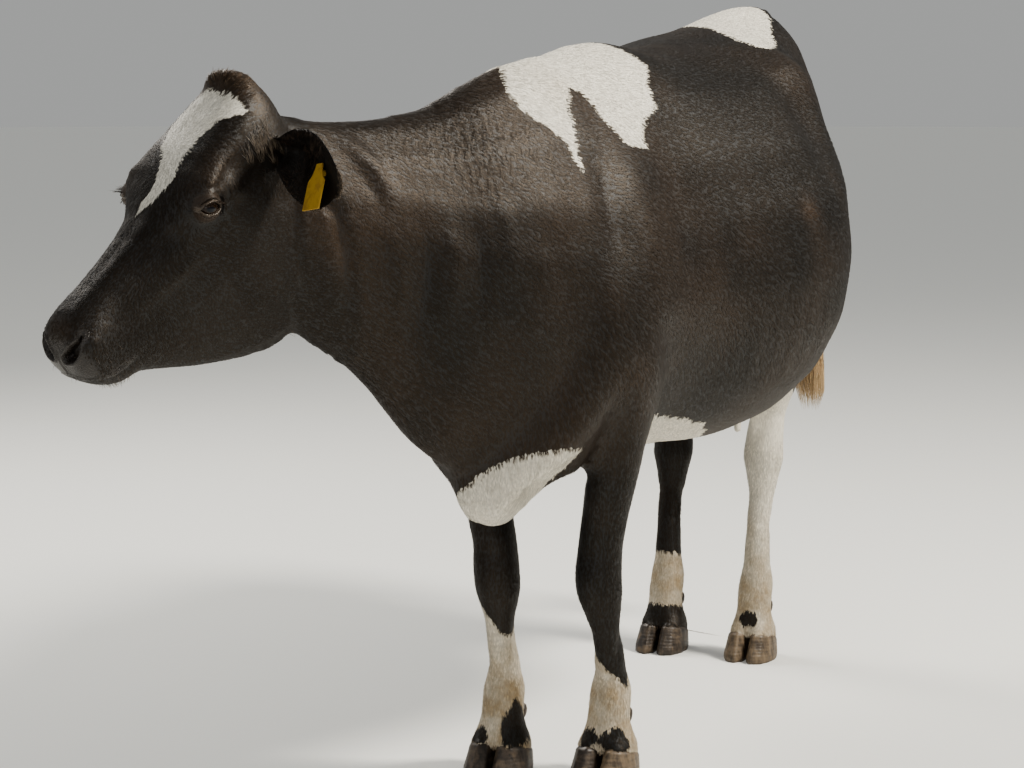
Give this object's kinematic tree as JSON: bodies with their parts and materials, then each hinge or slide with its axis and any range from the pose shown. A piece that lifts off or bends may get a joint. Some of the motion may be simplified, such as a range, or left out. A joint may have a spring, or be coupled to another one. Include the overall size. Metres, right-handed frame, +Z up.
{
  "type": "cow",
  "caption": "Standing black and white dairy cow, life size, head turned to its right, with a blank yellow ear tag in the left ear.",
  "frame": {"origin": "on the floor, under the middle of the model's box", "axes": "+Z up, -Y the way the body faces, +X the cow's left"},
  "size_m": [0.836, 2.343, 1.4327],
  "materials": {
    "black_coat": "short glossy hair lying flat, black with a brown sheen; white over the withers, tail head, face and lower legs",
    "white_coat": "short cream-white hair lying flat",
    "muzzle_skin": "bare dark moist skin with fine cobbled grain",
    "udder_skin": "pale pink skin with thin short hair",
    "horn": "grown horn with level growth rings, dark to tan",
    "eye": "wet dark brown eye with a wide pupil",
    "tail_hair": "long brown hair with pale tips",
    "ear_tag": "blank yellow flexible plastic"
  },
  "bodies": {
    "root": {"barrel": "black_coat", "chest": "black_coat", "claw_fore_left_inner": "horn", "claw_fore_left_outer": "horn", "claw_fore_right_inner": "horn", "claw_fore_right_outer": "horn", "claw_hind_left_inner": "horn", "claw_hind_left_outer": "horn", "claw_hind_right_inner": "horn", "claw_hind_right_outer": "horn", "dewclaw_fore_left_inner": "horn", "dewclaw_fore_left_outer": "horn", "dewclaw_fore_right_inner": "horn", "dewclaw_fore_right_outer": "horn", "dewclaw_hind_left_inner": "horn", "dewclaw_hind_left_outer": "horn", "dewclaw_hind_right_inner": "horn", "dewclaw_hind_right_outer": "horn", "ear_left": "black_coat", "ear_right": "black_coat", "ear_tag": "ear_tag", "eye_left": "eye", "eye_right": "eye", "fore_left_arm": "black_coat", "fore_left_forearm": "black_coat", "fore_left_knee": "black_coat", "fore_left_pastern": "white_coat", "fore_right_arm": "black_coat", "fore_right_forearm": "black_coat", "fore_right_knee": "black_coat", "fore_right_pastern": "white_coat", "head": "black_coat", "hind_left_gaskin": "black_coat", "hind_left_hock": "black_coat", "hind_left_pastern": "white_coat", "hind_left_thigh": "black_coat", "hind_right_gaskin": "black_coat", "hind_right_hock": "black_coat", "hind_right_pastern": "white_coat", "hind_right_thigh": "black_coat", "muzzle": "muzzle_skin", "neck": "black_coat", "rump": "black_coat", "tail": "black_coat", "tail_switch": "tail_hair", "udder": "udder_skin"}
  },
  "joints": []
}
